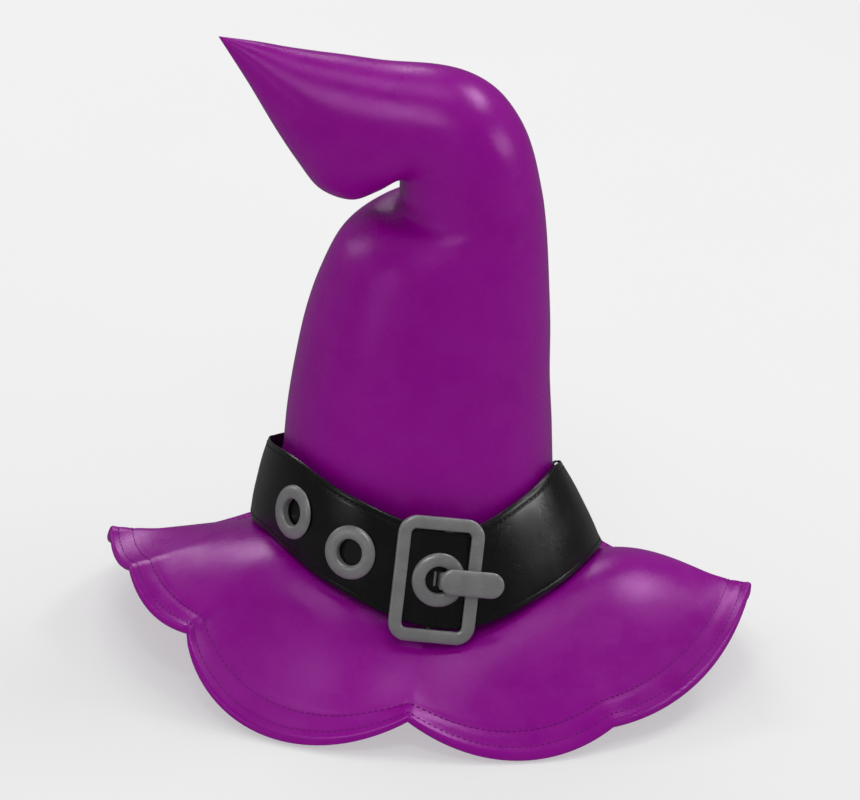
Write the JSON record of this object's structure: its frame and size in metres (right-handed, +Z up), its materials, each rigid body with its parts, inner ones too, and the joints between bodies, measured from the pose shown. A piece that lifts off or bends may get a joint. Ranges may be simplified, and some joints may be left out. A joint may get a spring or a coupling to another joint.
{
  "type": "witch hat",
  "caption": "Floppy costume hat with a crooked pointed crown, a drooping scalloped brim and a leather belt with a centre-bar buckle.",
  "frame": {"origin": "middle of the hat's own bounding box, on the plane its drooping brim rests on", "axes": "+Z up through the crown, -Y to the front where the buckle is, -X to the side the crooked tip points to"},
  "size_m": [0.374, 0.3314, 0.3645],
  "materials": {
    "purple_cloth": "satin-faced felt",
    "lining_cloth": "plain woven lining",
    "foam": "soft open foam and wadding",
    "black_leather": "gloss",
    "buckle_metal": "satin gunmetal",
    "wire_steel": "drawn wire"
  },
  "bodies": {
    "hat": {"crown_shell": "purple_cloth", "crown_fold": "purple_cloth", "crown_wire": "wire_steel", "fold_wire": "wire_steel", "sweatband": "black_leather", "crown_lining": "lining_cloth", "brim_top_cloth": "purple_cloth", "brim_stiffener": "foam", "brim_under_cloth": "purple_cloth", "brim_wire": "wire_steel", "brim_wire_joiner": "wire_steel", "belt_strap": "black_leather", "eyelet_1": "buckle_metal", "eyelet_2": "buckle_metal", "eyelet_3": "buckle_metal", "eyelet_washer_1": "buckle_metal", "eyelet_washer_2": "buckle_metal", "eyelet_washer_3": "buckle_metal", "buckle_chape": "black_leather", "chape_rivet_1": "buckle_metal", "chape_rivet_2": "buckle_metal"},
    "tip": {"crown_tip": "purple_cloth", "tip_wire": "wire_steel", "tip_wadding": "foam"},
    "buckle": {"buckle_frame": "buckle_metal", "buckle_bar": "buckle_metal"},
    "prong": {"buckle_prong": "buckle_metal"},
    "keeper": {"belt_keeper": "black_leather"}
  },
  "joints": [
    {"name": "tip_fold", "type": "hinge", "parent": "hat", "child": "tip", "pos_m": [-0.0694, 0.0015, 0.3275], "axis": [0, 1, 0], "range_deg": [-25, 35], "deforming": ["crown_fold", "fold_wire"]},
    {"name": "buckle_rock", "type": "hinge", "parent": "hat", "child": "buckle", "pos_m": [0.00362, -0.09134, 0.07948], "axis": [0.0265, 0.3175, 0.9479], "range_deg": [-2, 2]},
    {"name": "prong_lift", "type": "hinge", "parent": "buckle", "child": "prong", "pos_m": [0.00362, -0.09134, 0.07948], "axis": [-0.0265, -0.3175, -0.9479], "range_deg": [0, 40]},
    {"name": "keeper_slide", "type": "slide", "parent": "hat", "child": "keeper", "axis": [-0.3842, 0.92, -0.0777], "range_m": [-0.0015, 0.0015]}
  ]
}
